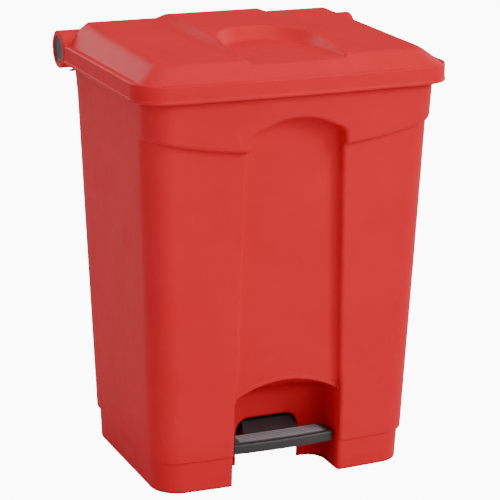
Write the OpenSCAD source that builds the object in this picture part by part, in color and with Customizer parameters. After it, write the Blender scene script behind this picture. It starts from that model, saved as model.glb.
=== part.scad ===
// Pedal bin with a tapered moulded body, a hinged lid and a foot lever.
// X runs across the bin, the front faces -Y, Z is up, and the floor is z = 0.

/* [Body] */
// Half of the body's width at the top of the plinth
body_low_half_w = 212.7; // [200:0.1:225]
// Half of the body's width at the seam level
body_top_half_w = 234.7; // [226:0.1:240]
// Height of the seam between body and lid
seam_z = 615.9; // [580:0.1:640]
// Distance of the front face from the origin at the plinth
front_low = 156.1; // [150:0.1:160]
// Distance of the front face from the origin at the seam
front_top = 174.3; // [170:0.1:180]
// Distance of the rear face from the origin at the plinth
rear_low = 157.9; // [154:0.1:162]
// Distance of the rear face from the origin at the seam
rear_top = 175.6; // [172:0.1:178]
// Radius of the upright corners
corner_r = 40.5; // [30:0.5:50]
// How far the front face bulges at its middle
front_bow = 6.7; // [0:0.1:8]
// Wall thickness of the body
wall = 3.2; // [3:0.1:4]

/* [Plinth] */
// Height of the plinth
plinth_h = 50.6; // [40:0.1:60]
// Step from the body in to the plinth
plinth_step = 3.6; // [2:0.1:6]
// Thickness of the plinth's rim on the floor
plinth_wall = 7; // [6:0.5:10]
// Underside of the bin's floor
floor_z = 84; // [82:0.5:88]
// Thickness of the bin's floor
floor_t = 6; // [5:0.5:8]

/* [Collar] */
// How far the collar stands proud of the front face
collar_proud = 11.5; // [8:0.1:13]
// Height of the collar's lower edge at its middle
collar_mid_z = 528; // [515:0.5:535]
// Radius of the collar's arched lower edge
collar_edge_r = 893; // [800:1:1000]

/* [Front panel] */
// Half width of the sunk panel at the floor
panel_half_w = 89; // [87:0.1:92]
// Narrowing of the panel's half width per mm of height
panel_taper = 0.0225; // [0.01:0.0005:0.03]
// Height of the panel's crown
panel_top_z = 579.5; // [570:0.5:590]
// Radius of the panel's crown
panel_crown_r = 117; // [110:1:140]
// Distance of the panel's face from the origin at the floor
panel_low_y = 147.8; // [145:0.1:150]
// Slope of the panel's face, per mm of height
panel_slope = 0.02; // [0.01:0.001:0.03]

/* [Foot niche] */
// Half width of the niche
niche_half_w = 88.5; // [87:0.5:92]
// Height of the niche's arch at its middle
niche_top_z = 162.5; // [160:0.5:170]
// Radius of the niche's arch
niche_arch_r = 163; // [155:1:180]
// Distance of the niche's back wall from the origin
niche_back_y = 79; // [77:0.5:82]
// Radius of the niche's back corners
niche_corner_r = 28; // [20:0.5:32]
// Height where the niche's roof meets its back wall
niche_back_z = 122; // [116:0.5:130]
// Half width of the lever's slot
slot_half_w = 53; // [50:0.5:56]
// Height of the lever's slot
slot_top_z = 77; // [75:0.5:79]
// Radius of the slot's shoulders
slot_r = 22; // [15:0.5:25]

/* [Lid] */
// Half width of the lid
lid_half_w = 252.1; // [250:0.1:255]
// Distance of the lid's front corners from the origin
lid_front = 198.3; // [197:0.1:202]
// Radius of the lid's front corners
lid_corner_r = 46.7; // [40:0.1:55]
// Height of the lid's skirt
skirt_h = 28; // [26:0.5:30]
// Thickness of the lid's wall
lid_wall = 3; // [2.5:0.1:4]
// Width of the flat rim between the skirt and the bevel, at the front
rim_w = 4; // [3:0.5:8]
// Width of the flat rim at the sides
side_rim_w = 11; // [6:0.5:14]
// Width of the bevel at the sides, from the rim to the lid's flat top
bevel_w = 36; // [30:0.5:40]
// Height of the flat top at its front edge
top_front_z = 668; // [664:0.5:670]
// Height of the flat top at its rear edge
top_rear_z = 674; // [672:0.5:676]
// Height of the raised band at its rear
band_z = 682; // [680:0.5:684]
// Half width of the band's flat top
band_half_w = 79; // [70:0.5:85]
// Half width of the band at its foot
band_foot_half_w = 98; // [90:0.5:105]
// Height of the dish's floor
dish_z = 662; // [660:0.5:664]
// Half width of the dish at the band's level
dish_half_w = 80; // [75:0.5:84]
// Distance of the middle of the dish's round rear end in front of the origin
dish_y = 62; // [50:0.5:70]

/* [Lid hinge] */
// Distance of the hinge axis behind the origin
hinge_y = 174.9; // [174:0.1:176]
// Height of the hinge axis
hinge_z = 633.5; // [632:0.1:635]
// Outer radius of the hinge barrel
barrel_r = 29.7; // [28:0.1:30]
// Radius of the opening in the barrel's end
barrel_hole_r = 21.2; // [20:0.1:23]
// Length of the closed tube at each end of the barrel
barrel_end_l = 74; // [70:0.5:80]
// Radius of the hinge rod
hinge_rod_r = 4; // [3:0.5:4.5]
// Distance of the hinge lugs from the middle
lug_x = 164; // [158:0.5:166]
// Radius of the hinge lugs round the rod
lug_r = 9; // [7:0.5:10]
// Thickness of the hinge lugs
lug_t = 12; // [8:0.5:14]
// Running clearance between a shaft and its bearing
running = 0.05; // [0.02:0.01:0.08]

/* [Pedal lever] */
// Distance of the lever's pivot in front of the origin
pivot_y = 20; // [18:0.5:22]
// Height of the lever's pivot
pivot_z = 60; // [58:0.5:62]
// Radius of the lever's axle
axle_r = 5; // [4:0.5:6]
// Half width of the pedal
pedal_half_w = 85; // [80:0.5:87]
// Distance of the pedal's front edge from the origin, at its ends
pedal_front = 146; // [144:0.5:150]
// Depth of the pedal from front to back
pedal_d = 41; // [38:0.5:46]
// Radius of the pedal's rear corners
pedal_r = 14; // [10:0.5:18]
// Half width of the lever's arm in the slot
arm_half_w = 42; // [38:0.5:46]

/* [Push rod] */
// Distance of the rod in front of the hinge axis
cam_r = 27; // [25:0.5:28]
// Radius of the push rod
rod_r = 3; // [2.5:0.25:3.5]
// Radius of the rod's domed tip
tip_r = 5; // [4.5:0.25:5]
// Half width of the rod's channel
channel_half_w = 28; // [26:0.5:30]
// Distance of the channel's inner wall behind the origin
channel_y = 119; // [118:0.5:121]
// Opening angle of the lid
open_angle = 75; // [60:1:75]

/* [Hidden] */
$fn = 48;

red = [0.80, 0.13, 0.12];
black = [0.12, 0.12, 0.13];
grey_rubber = [0.28, 0.27, 0.29];
steel = [0.70, 0.71, 0.73];
nylon = [0.86, 0.85, 0.80];

slice_t = 0.02;          // thickness of the thin slices that a hull joins
reach = 400;             // longer than any part, for cuts that run right through
gap = 0.3;               // clearance where the lid, the lever and the cam make contact
skirt_top_z = seam_z + skirt_h;
rim_z = skirt_top_z - lid_wall - gap;   // top of the body's rim, inside the lid
cavity_z = floor_z + floor_t;
cam_lift0 = tip_r + 1 + gap;
rod_y = hinge_y - cam_r;
rod_top_z = hinge_z + cam_lift0 - gap;
nose_z = 41;             // axis of the lever's round nose, under the rod's foot
nose_r = 5;
foot_z = nose_z + nose_r + gap + 0.1;   // underside of the rod's foot at rest
foot_top_z = foot_z + 16;
channel_wall = 5;
channel_top = 700;       // above the rim, for cuts that leave the body open at the top
trough_r = barrel_r + 2.8;   // the body's trough that the barrel turns in
bevel_y = 168;           // front edge of the lid's flat top at its corners
top_rear_y = 172;
pedal_low_z = 47;
pedal_top_z = 63;
tread_t = 2.5;
tread_rib_n = 5;
tread_rib_d = 2.8;       // depth of a rib from front to back
tread_rib_pitch = 5.2;
tread_rib_front = -136.9;
hub_r = 12;              // round the lever's axle
neck_half_w = 48;        // the neck that fills the niche's slot
neck_r = 17;
neck_front = -104;
neck_rear = -60;
arm_front = -130;
pedal_screw_x = 30;
pedal_screw_y = -118;
cam_screw_x = 15;
cam_screw_y = 141;
bush_outer_r = 7.5;      // outer radius of the lever's bushes
bush_flange_r = 11;
boss_half_w = 22;        // the lid's boss that the cam is screwed to
cam_seat_z = 659;        // underside of that boss
cam_flange_z = 655;
guide_half_h = 8;
guide_r = 9;
clip_r = 9;
web_x = 186;             // inner face of the lid's webs that hold its bushes
web_t = 6;
bush_r = 7;
clip_t = 1.2;
press_fit = 0.02;        // clearance round pieces that are pressed in
bracket_x = 49;          // inner face of an axle bracket
bracket_t = 12;
flange_t = 5;            // thickness of a screwed-on flange
bracket_screw_x = bracket_x + bracket_t + 7;
screw_r = 2;
screw_hole_r = 2.05;
screw_head_r = 3.8;

// Straight interpolation of a body measure between plinth and seam, and beyond.
function at_height(low, top, z) = low + (top - low) * (z - plinth_h) / (seam_z - plinth_h);
function bowed(p, half_w, bow) = [p.x, p.y - bow * (1 - pow(p.x / half_w, 2))];

// Rounded rectangle with a bulging front side, as a list of points.
function outline(half_w, front, rear, r, bow) = concat(
    [for (a = [0:15:90]) [half_w - r + r * cos(a), rear - r + r * sin(a)]],
    [for (a = [90:15:180]) [r - half_w + r * cos(a), rear - r + r * sin(a)]],
    [for (a = [180:15:270])
        bowed([r - half_w + r * cos(a), r - front + r * sin(a)], half_w, bow)],
    [for (i = [1:7])
        bowed([(r - half_w) * (1 - i / 4), -front], half_w, bow)],
    [for (a = [270:15:360])
        bowed([half_w - r + r * cos(a), r - front + r * sin(a)], half_w, bow)]
);

// The body's outline at a height, moved in by inset and out at the front by proud.
function body_outline(z, inset, proud) = outline(
    at_height(body_low_half_w, body_top_half_w, z) - inset,
    at_height(front_low, front_top, z) - inset + proud,
    at_height(rear_low, rear_top, z) - inset,
    corner_r - inset, front_bow
);

module slice(points, z) translate([0, 0, z]) linear_extrude(slice_t) polygon(points);
module body_slice(z, inset = 0, proud = 0) slice(body_outline(z, inset, proud), z);

// A YZ outline carried along X from x0 to x1.
module prism_x(points, x0, x1)
    translate([x0, 0, 0]) rotate([90, 0, 90]) linear_extrude(x1 - x0) polygon(points);
// An XZ outline carried along Y from y0 to y1.
module prism_y(points, y0, y1)
    translate([0, y1, 0]) rotate([90, 0, 0]) linear_extrude(y1 - y0) polygon(points);
// A block given by its lowest and highest corners.
module block(low, high) translate(low) cube(high - low);
// A round bar along X, Y or Z.
module bar_x(r, x0, x1, y, z) translate([x0, y, z]) rotate([0, 90, 0]) cylinder(r = r, h = x1 - x0);
module bar_y(r, y0, y1, x, z) translate([x, y1, z]) rotate([90, 0, 0]) cylinder(r = r, h = y1 - y0);
module bar_z(r, z0, z1, x, y) translate([x, y, z0]) cylinder(r = r, h = z1 - z0);
// The same thing on both sides of the bin.
module both_sides() for (side = [0, 1]) mirror([side, 0, 0]) children();

// ---- Body ----

function panel_w(z) = panel_half_w - panel_taper * z;
function panel_y(z) = -panel_low_y - panel_slope * z;
shoulder_r = 18.5;
shoulder_z = panel_top_z - 34.5;     // middle of the shoulders' arcs
shoulder_x = panel_w(shoulder_z) - shoulder_r;
crown_x = 60;            // where the crown's wide arc meets the shoulders
function crown_half(grow) = concat(
    [[panel_w(0) + grow, -1]],
    [for (a = [0:15:75])
        [shoulder_x + (shoulder_r + grow) * cos(a), shoulder_z + (shoulder_r + grow) * sin(a)]],
    [for (x = [crown_x:-10:0])
        [x, panel_top_z + grow - panel_crown_r + sqrt(pow(panel_crown_r, 2) - x * x)]]
);
function mirrored(points) = [for (i = [len(points) - 1:-1:0]) [-points[i].x, points[i].y]];

// Everything in front of the sunk panel's face, under its crown.
module panel_cut(grow = 0) intersection() {
    prism_y(concat(crown_half(grow), mirrored(crown_half(grow))), -reach, 0);
    prism_x([[-reach, 0], [panel_y(0) + grow, 0], [panel_y(channel_top) + grow, channel_top],
             [-reach, channel_top]], -reach / 2, reach / 2);
}

function niche_arch(grow) = concat(
    [[niche_half_w + grow, -1]],
    [for (x = [niche_half_w + grow:-(niche_half_w + grow) / 8:0])
        [x, niche_top_z + grow - niche_arch_r + sqrt(pow(niche_arch_r, 2) - x * x)]]
);
function niche_plan(grow) = concat(
    [[niche_half_w + grow, -reach]],
    [for (a = [0:15:90])
        [niche_half_w - niche_corner_r + (niche_corner_r + grow) * cos(a),
         -niche_back_y - niche_corner_r + (niche_corner_r + grow) * sin(a)]]
);

niche_roof_z = niche_top_z + 6;      // roof at the panel's face, just above the arch

// The foot's space: an arch seen from the front, round-cornered in plan,
// under a roof that slopes down to the back wall.
module niche_cut(grow = 0) intersection() {
    prism_y(concat(niche_arch(grow), mirrored(niche_arch(grow))), -reach, 0);
    translate([0, 0, -1])
        linear_extrude(200) polygon(concat(niche_plan(grow), mirrored(niche_plan(grow))));
    prism_x([[-reach, -1], [grow - niche_back_y, -1], [grow - niche_back_y, niche_back_z + grow],
             [panel_y(niche_top_z), niche_roof_z + grow], [-reach, niche_roof_z + grow]],
            -reach / 2, reach / 2);
}

module slot_cut() {
    shoulder = slot_half_w - slot_r;
    block([-slot_half_w, -niche_back_y - 1, -1],
          [slot_half_w, plinth_wall - niche_back_y, slot_top_z - slot_r]);
    block([-shoulder, -niche_back_y - 1, -1], [shoulder, plinth_wall - niche_back_y, slot_top_z]);
    both_sides() bar_y(slot_r, -niche_back_y - 1, plinth_wall - niche_back_y,
                       shoulder, slot_top_z - slot_r);
}

module channel_cut(grow = 0)
    block([-channel_half_w - grow, channel_y - grow, -1],
          [channel_half_w + grow, reach, channel_top]);

module trough_cut(r) bar_x(r, -reach, reach, hinge_y, hinge_z);

// The collar's thick front, or its hollow when moved in by the wall's thickness.
module collar(inset = 0) intersection() {
    hull() {
        body_slice(collar_mid_z - 12, inset, collar_proud);
        body_slice(rim_z - slice_t + inset, inset, collar_proud);
    }
    bar_y(collar_edge_r - inset, -reach, 0, 0, collar_mid_z + collar_edge_r);
}

module hinge_lug() {
    difference() {
        union() {
            prism_x([[hinge_y - 17, seam_z - 20], [hinge_y, seam_z - 20],
                     [hinge_y + lug_r, hinge_z - 5], [hinge_y + lug_r, hinge_z],
                     [hinge_y - lug_r, hinge_z], [hinge_y - lug_r, hinge_z - 5]],
                    lug_x - lug_t / 2, lug_x + lug_t / 2);
            bar_x(lug_r, lug_x - lug_t / 2, lug_x + lug_t / 2, hinge_y, hinge_z);
        }
        bar_x(hinge_rod_r + running, 0, reach, hinge_y, hinge_z);
    }
}

guide_zs = [150, 545];
guide_screw_x = 19;
bracket_screw_ys = [-10, 10];

module body_solid() {
    linear_extrude(plinth_h + 1)
        polygon(outline(body_low_half_w - plinth_step, front_low - plinth_step,
                        rear_low - plinth_step, corner_r, front_bow));
    hull() {
        body_slice(plinth_h);
        body_slice(rim_z - slice_t);
    }
    collar();
}

module body_cavity() difference() {
    union() {
        hull() {
            body_slice(cavity_z, wall);
            body_slice(rim_z + 2, wall);
        }
        collar(wall);
    }
    panel_cut(wall);
    niche_cut(wall);
    channel_cut(channel_wall);
    trough_cut(trough_r + wall);
}

module compartment() difference() {
    translate([0, 0, -1]) linear_extrude(floor_z + 1)
        polygon(outline(body_low_half_w - plinth_step - plinth_wall,
                        front_low - plinth_step - plinth_wall,
                        rear_low - plinth_step - plinth_wall,
                        corner_r - plinth_wall, front_bow));
    niche_cut(wall);
}

module body_shell() color(red) {
    difference() {
        body_solid();
        body_cavity();
        compartment();
        panel_cut();
        niche_cut();
        slot_cut();
        channel_cut();
        trough_cut(trough_r);
        for (z = guide_zs)
            both_sides()
                bar_y(screw_hole_r, channel_y - channel_wall + 0.6, channel_y + 1, guide_screw_x, z);
        for (dy = bracket_screw_ys)
            both_sides()
                bar_z(screw_hole_r, floor_z - 1, cavity_z - 1, bracket_screw_x, dy - pivot_y);
    }
    both_sides() hinge_lug();
}

// ---- Lever bearings ----

module axle_bracket() difference() {
    union() {
        prism_x([[-pivot_y - 18, floor_z], [-pivot_y + 18, floor_z],
                 [-pivot_y + 11, pivot_z - 4], [-pivot_y - 11, pivot_z - 4]],
                bracket_x, bracket_x + bracket_t);
        bar_x(bush_flange_r, bracket_x, bracket_x + bracket_t, -pivot_y, pivot_z);
        block([bracket_x, -pivot_y - 18, floor_z - flange_t],
              [bracket_screw_x + 7, -pivot_y + 18, floor_z]);
    }
    bar_x(axle_r + running, bracket_x - 1, bracket_x + bracket_t + 1, -pivot_y, pivot_z);
    for (dy = bracket_screw_ys)
        bar_z(screw_hole_r, floor_z - flange_t - 1, floor_z + 1, bracket_screw_x, dy - pivot_y);
}

module axle_bracket_right() color(black) axle_bracket();
module axle_bracket_left() color(black) mirror([1, 0, 0]) axle_bracket();

// A pan-head screw that points up, with its head's seat at z.
module screw_up(x, y, z, length) {
    bar_z(screw_r, z - 1, z + length, x, y);
    translate([0, 0, z]) mirror([0, 0, 1]) {
        bar_z(screw_head_r, 0, 2, x, y);
        translate([x, y, 1.9]) cylinder(r1 = screw_head_r, r2 = 2.4, h = 0.9);
    }
}

module bracket_screws() color(steel)
    for (dy = bracket_screw_ys)
        both_sides() screw_up(bracket_screw_x, dy - pivot_y, floor_z - flange_t, flange_t + floor_t - 1.2);

axle_end_x = bracket_x + bracket_t + 4;
module pedal_axle() color(steel) bar_x(axle_r, -axle_end_x, axle_end_x, -pivot_y, pivot_z);

module axle_clips() color(steel) both_sides() difference() {
    bar_x(clip_r, bracket_x + bracket_t + 0.1, bracket_x + bracket_t + 0.1 + clip_t, -pivot_y, pivot_z);
    bar_x(axle_r + 0.01, 0, reach, -pivot_y, pivot_z);
    block([0, -pivot_y - 3, 0], [reach, -pivot_y + 3, pivot_z]);
}

// ---- Push rod guides ----

module rod_guide(z) color(black) difference() {
    union() {
        block([-channel_half_w + 2, channel_y, z - guide_half_h],
              [channel_half_w - 2, channel_y + 4, z + guide_half_h]);
        block([-guide_r, channel_y, z - guide_half_h], [guide_r, rod_y, z + guide_half_h]);
        bar_z(guide_r, z - guide_half_h, z + guide_half_h, 0, rod_y);
    }
    bar_z(rod_r + running, z - guide_half_h - 1, z + guide_half_h + 1, 0, rod_y);
    block([3.5 - guide_r, channel_y + 5, z - guide_half_h - 1],
          [guide_r - 3.5, rod_y - 7, z + guide_half_h + 1]);
    both_sides() bar_y(screw_hole_r, channel_y - 1, channel_y + 5, guide_screw_x, z);
}
module rod_guide_lower() rod_guide(guide_zs[0]);
module rod_guide_upper() rod_guide(guide_zs[1]);

module guide_screws() color(steel)
    for (z = guide_zs)
        both_sides() translate([guide_screw_x, channel_y + 4, z]) rotate([90, 0, 0])
            screw_up(0, 0, 0, 8);

// ---- Lid hinge ----

hinge_rod_end_x = 206;
module hinge_rod() color(steel)
    bar_x(hinge_rod_r, -hinge_rod_end_x, hinge_rod_end_x, hinge_y, hinge_z);

module hinge_rod_clips() color(steel) both_sides() difference() {
    bar_x(clip_r, hinge_rod_end_x - 5, hinge_rod_end_x - 5 + clip_t, hinge_y, hinge_z);
    bar_x(hinge_rod_r + 0.01, 0, reach, hinge_y, hinge_z);
}

// ---- Lid ----

// The same outline with square rear corners.
function square_rear(half_w, front, rear, r) = concat(
    [[half_w, rear], [-half_w, rear]],
    [for (a = [180:15:270])
        bowed([r - half_w + r * cos(a), r - front + r * sin(a)], half_w, front_bow)],
    [for (i = [1:7]) bowed([(r - half_w) * (1 - i / 4), -front], half_w, front_bow)],
    [for (a = [270:15:360])
        bowed([half_w - r + r * cos(a), r - front + r * sin(a)], half_w, front_bow)]
);

top_slope = atan((top_rear_z - top_front_z) / (top_rear_y + bevel_y));
function top_z(y) = top_front_z + (y + bevel_y) * tan(top_slope);

// A thin slice of the lid's flat top, tilted as the top is.
module top_slice(half_w, front, rear, r, drop)
    translate([0, -bevel_y, top_front_z - drop]) rotate([top_slope, 0, 0])
        translate([0, bevel_y, -slice_t]) linear_extrude(slice_t)
            polygon(outline(half_w, front, rear, r, front_bow));

module lid_bevel(inset) hull() {
    slice(outline(lid_half_w - side_rim_w - inset, lid_front - rim_w - inset,
                  hinge_y + 10 - inset, lid_corner_r - side_rim_w, front_bow),
          skirt_top_z - inset - slice_t);
    top_slice(lid_half_w - side_rim_w - bevel_w - inset, bevel_y - inset, top_rear_y - inset,
              lid_corner_r - 2 * side_rim_w, inset);
}

function band_section(half_w, foot_half_w, z) = [
    [foot_half_w, skirt_top_z - lid_wall], [foot_half_w, top_z(0) - lid_wall],
    [half_w, z], [-half_w, z],
    [-foot_half_w, top_z(0) - lid_wall], [-foot_half_w, skirt_top_z - lid_wall]
];
module lid_band(inset) intersection() {
    prism_y(band_section(band_half_w - inset, band_foot_half_w - inset, band_z - inset),
            -reach, top_rear_y - 14 - inset);
    prism_x([[-reach / 2, 600], [top_rear_y - inset, 600], [top_rear_y - inset, top_rear_z - inset],
             [top_rear_y - 16 - inset, band_z - inset], [0, band_z - inset],
             [-60, band_z - 2.5 - inset], [-110, band_z - 7 - inset],
             [-bevel_y + inset, top_front_z - inset], [6 - lid_front + inset, skirt_top_z - inset],
             [6 - lid_front + inset, 600]],
            -reach / 2, reach / 2);
}

// The dish: round at its rear, open through the front bevel, with sloping walls.
module dish_cut(grow) hull() for (y = [-dish_y, -reach]) {
    translate([0, y, dish_z - grow]) cylinder(r = dish_half_w - 16 + grow, h = slice_t);
    translate([0, y, band_z + 1]) cylinder(r = dish_half_w + grow, h = slice_t);
}

// The part of the barrel's wall between two angles, counted from +Y towards +Z.
module barrel_sector_cut(a0, a1, x0, x1)
    translate([0, hinge_y, hinge_z])
        prism_x(concat([[0, 0]], [for (i = [0:6]) let (a = a0 + (a1 - a0) * i / 6)
                 [60 * cos(a), 60 * sin(a)]]), x0, x1);

module lid_outer() {
    difference() {
        union() {
            translate([0, 0, seam_z]) linear_extrude(skirt_h)
                polygon(square_rear(lid_half_w, lid_front, hinge_y, lid_corner_r));
            lid_bevel(0);
            lid_band(0);
        }
        dish_cut(0);
    }
    bar_x(barrel_r, -lid_half_w, lid_half_w, hinge_y, hinge_z);
}

module lid_inner() {
    difference() {
        union() {
            translate([0, 0, seam_z - 40]) linear_extrude(skirt_h + 40 - lid_wall)
                polygon(square_rear(lid_half_w - lid_wall, lid_front - lid_wall,
                                    hinge_y - 14, lid_corner_r - lid_wall));
            lid_bevel(lid_wall);
            lid_band(lid_wall);
        }
        dish_cut(lid_wall);
    }
}

inner_x = lid_half_w - barrel_end_l;
hood_angle = 300;        // where the hood between the end tubes begins, counted from +Y
notch_angle = 375;       // where the hood begins over the lugs and over the push rod
module lid_shell() color(red) {
    difference() {
        lid_outer();
        lid_inner();
        bar_x(barrel_r - lid_wall, 4 - lid_half_w, lid_half_w - 4, hinge_y, hinge_z);
        bar_x(barrel_hole_r, -reach, reach, hinge_y, hinge_z);
        barrel_sector_cut(180, hood_angle, -inner_x, inner_x);
        both_sides() barrel_sector_cut(180, notch_angle, lug_x - lug_t / 2 - 4, lug_x + lug_t / 2 + 4);
        barrel_sector_cut(180, notch_angle, -channel_half_w, channel_half_w);
    }
    both_sides() difference() {
        bar_x(barrel_r - lid_wall + 0.5, web_x, web_x + web_t, hinge_y, hinge_z);
        bar_x(bush_r + press_fit, 0, reach, hinge_y, hinge_z);
    }
    difference() {
        block([-boss_half_w, channel_y + 3, cam_seat_z],
              [boss_half_w, hinge_y - 16, band_z - 2]);
        both_sides() bar_z(screw_hole_r, cam_flange_z - 5, cam_seat_z + 9, cam_screw_x, cam_screw_y);
    }
}

module hinge_bushes() color(nylon) both_sides() difference() {
    union() {
        bar_x(bush_r, web_x - 1.6, web_x + web_t, hinge_y, hinge_z);
        bar_x(10, web_x - 1.6, web_x - 0.1, hinge_y, hinge_z);
    }
    bar_x(hinge_rod_r + running, 0, reach, hinge_y, hinge_z);
}

module hinge_cap() {
    bar_x(barrel_hole_r - 0.1, lid_half_w - 5, lid_half_w - 1.6, hinge_y, hinge_z);
    difference() {
        bar_x(barrel_hole_r - 0.1, lid_half_w - 16, lid_half_w - 4.9, hinge_y, hinge_z);
        bar_x(barrel_hole_r - 2.5, lid_half_w - 17, lid_half_w - 4.8, hinge_y, hinge_z);
    }
}
module hinge_cap_right() color(black) hinge_cap();
module hinge_cap_left() color(black) mirror([1, 0, 0]) hinge_cap();

// ---- Lid cam ----

// The involute of a circle round the hinge axis lifts the lid evenly on the rising rod.
function involute(t, lift) = let (w = cam_r * t * PI / 180 + lift)
    [hinge_y - cam_r * cos(t) - w * sin(t), hinge_z - cam_r * sin(t) + w * cos(t)];
cam_tip = involute(open_angle + 2, cam_lift0);

module lid_cam() color(black) difference() {
    union() {
        prism_x(concat([[rod_y + 7, hinge_z + cam_lift0]],
                       [for (i = [0:11]) involute((open_angle + 2) * i / 11, cam_lift0)],
                       [[cam_tip.x - 3.5, cam_tip.y + 2], [cam_tip.x - 3.5, hinge_z + 10],
                        [channel_y + 8, cam_flange_z], [rod_y + 7, cam_flange_z]]), -7, 7);
        block([-boss_half_w, channel_y + 3, cam_flange_z], [boss_half_w, hinge_y - 18, cam_seat_z]);
    }
    both_sides() bar_z(screw_hole_r, cam_flange_z - 5, cam_seat_z + 1, cam_screw_x, cam_screw_y);
}

module cam_screws() color(steel) both_sides() screw_up(cam_screw_x, cam_screw_y, cam_flange_z, 11);

// ---- Pedal lever ----

function pedal_edge(x) = -pedal_front - 4 * (1 - pow(x / pedal_half_w, 2));
function pedal_corner(side, a, inset) = [
    side * (pedal_half_w - pedal_r) + (pedal_r - inset) * cos(a),
    pedal_d - pedal_front - pedal_r + (pedal_r - inset) * sin(a)
];
function pedal_plan(inset) = concat(
    [for (a = [0:15:90]) pedal_corner(1, a, inset)],
    [for (a = [90:15:180]) pedal_corner(-1, a, inset)],
    [for (i = [0:8]) let (x = (inset + 3 - pedal_half_w) * (1 - i / 4)) [x, pedal_edge(x) + inset]]
);

module pedal() color(black) difference() {
    translate([0, 0, pedal_low_z]) linear_extrude(pedal_top_z - pedal_low_z)
        polygon(pedal_plan(0));
    translate([0, 0, pedal_low_z - 1]) linear_extrude(7) difference() {
        polygon(pedal_plan(3));
        translate([-neck_half_w - 2, -reach]) square([2 * neck_half_w + 4, reach]);
    }
    translate([0, 0, pedal_top_z - tread_t + 0.5]) linear_extrude(tread_t) polygon(pedal_plan(7));
    both_sides() bar_z(screw_hole_r, pedal_low_z - 1, pedal_top_z - 4, pedal_screw_x, pedal_screw_y);
    block([-neck_half_w - 0.1, arm_front - 0.5, pedal_low_z - 1], [neck_half_w + 0.1, 0, pedal_low_z + 6]);
}

module pedal_tread() color(grey_rubber) {
    translate([0, 0, pedal_top_z - tread_t + 0.5]) linear_extrude(tread_t)
        polygon(pedal_plan(7.1));
    for (i = [0:tread_rib_n - 1]) let (y = tread_rib_front + i * tread_rib_pitch)
        block([14 - pedal_half_w, y, pedal_top_z], [pedal_half_w - 14, y + tread_rib_d, pedal_top_z + 2]);
}

// The arm's outline seen from the side, from a front end to the hub.
function arm_side(front, rear) = [
    [front, pedal_low_z], [front, pedal_low_z + 6], [neck_front, pedal_low_z + 6],
    [-90, pivot_z + 2], [-74, pivot_z + 10], [rear, pivot_z + 10],
    [rear, pivot_z - 10], [-60, pivot_z - 10], [-90, pedal_low_z - 3], [front + 4, pedal_low_z - 3]
];
// Half of the neck's outline seen from the front, with a round top corner.
function neck_half() = concat(
    [[neck_half_w, 0]],
    [for (a = [0:15:90]) [neck_half_w - neck_r + neck_r * cos(a), pivot_z + 10 - neck_r + neck_r * sin(a)]]
);
module lever_arm() color(black) difference() {
    union() {
        prism_x(arm_side(arm_front, -pivot_y - 10), -arm_half_w, arm_half_w);
        intersection() {
            prism_x(arm_side(arm_front, neck_rear), -neck_half_w, neck_half_w);
            prism_y(concat(neck_half(), mirrored(neck_half())), -reach, 0);
        }
        bar_x(hub_r, -arm_half_w, arm_half_w, -pivot_y, pivot_z);
        prism_x([[-pivot_y - 8, pivot_z - 8], [-pivot_y + 8, pivot_z - 10], [20, 46], [rod_y - 16, 42],
                 [rod_y, 42], [rod_y, 37], [10, 32], [-pivot_y, pivot_z - hub_r - 2]], -14, 14);
        bar_x(nose_r, -14, 14, rod_y, nose_z);
    }
    bar_x(bush_outer_r + press_fit, arm_half_w - 10, arm_half_w + 1, -pivot_y, pivot_z);
    bar_x(bush_outer_r + press_fit, -arm_half_w - 1, 10 - arm_half_w, -pivot_y, pivot_z);
    bar_x(axle_r + 0.6, -reach, reach, -pivot_y, pivot_z);
    both_sides() bar_z(screw_hole_r, 30, 60, pedal_screw_x, pedal_screw_y);
    both_sides() block([8, -68, pivot_z - 5], [arm_half_w - 5, -pivot_y - 20, pivot_z + 11]);
}

module pivot_bushes() color(nylon) both_sides() difference() {
    union() {
        bar_x(bush_outer_r, arm_half_w - 9.5, arm_half_w + 0.5, -pivot_y, pivot_z);
        bar_x(bush_flange_r, arm_half_w + 0.2, arm_half_w + 2.2, -pivot_y, pivot_z);
    }
    bar_x(axle_r + running, 0, reach, -pivot_y, pivot_z);
}

module pedal_screws() color(steel) both_sides() screw_up(pedal_screw_x, pedal_screw_y, pedal_low_z - 3, 13);

// ---- Push rod ----

module push_rod() color(steel) bar_z(rod_r, foot_z + 4, rod_top_z - 4, 0, rod_y);

module rod_tip() color(black) difference() {
    union() {
        bar_z(tip_r, rod_top_z - 22, rod_top_z - tip_r, 0, rod_y);
        translate([0, rod_y, rod_top_z - tip_r]) sphere(r = tip_r);
    }
    bar_z(rod_r + press_fit, rod_top_z - 23, rod_top_z - 3.9, 0, rod_y);
}

module rod_foot() color(black) difference() {
    bar_z(8, foot_z, foot_top_z, 0, rod_y);
    bar_z(rod_r + press_fit, foot_z + 3.9, foot_top_z + 1, 0, rod_y);
}

body_shell();
axle_bracket_left();
axle_bracket_right();
bracket_screws();
pedal_axle();
axle_clips();
rod_guide_upper();
rod_guide_lower();
guide_screws();
hinge_rod();
hinge_rod_clips();
lid_shell();
lid_cam();
cam_screws();
hinge_bushes();
hinge_cap_left();
hinge_cap_right();
pedal();
pedal_tread();
lever_arm();
pedal_screws();
pivot_bushes();
push_rod();
rod_tip();
rod_foot();
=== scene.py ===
"""The looks of a pedal bin: a tapered moulded body, a hinged lid and a foot lever.

Shapes are worked out in millimetres, as arrays over two parameters, and put into meshes in metres.
X runs across the bin, the front faces -Y, Z is up, and the floor is z = 0.
"""

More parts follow.
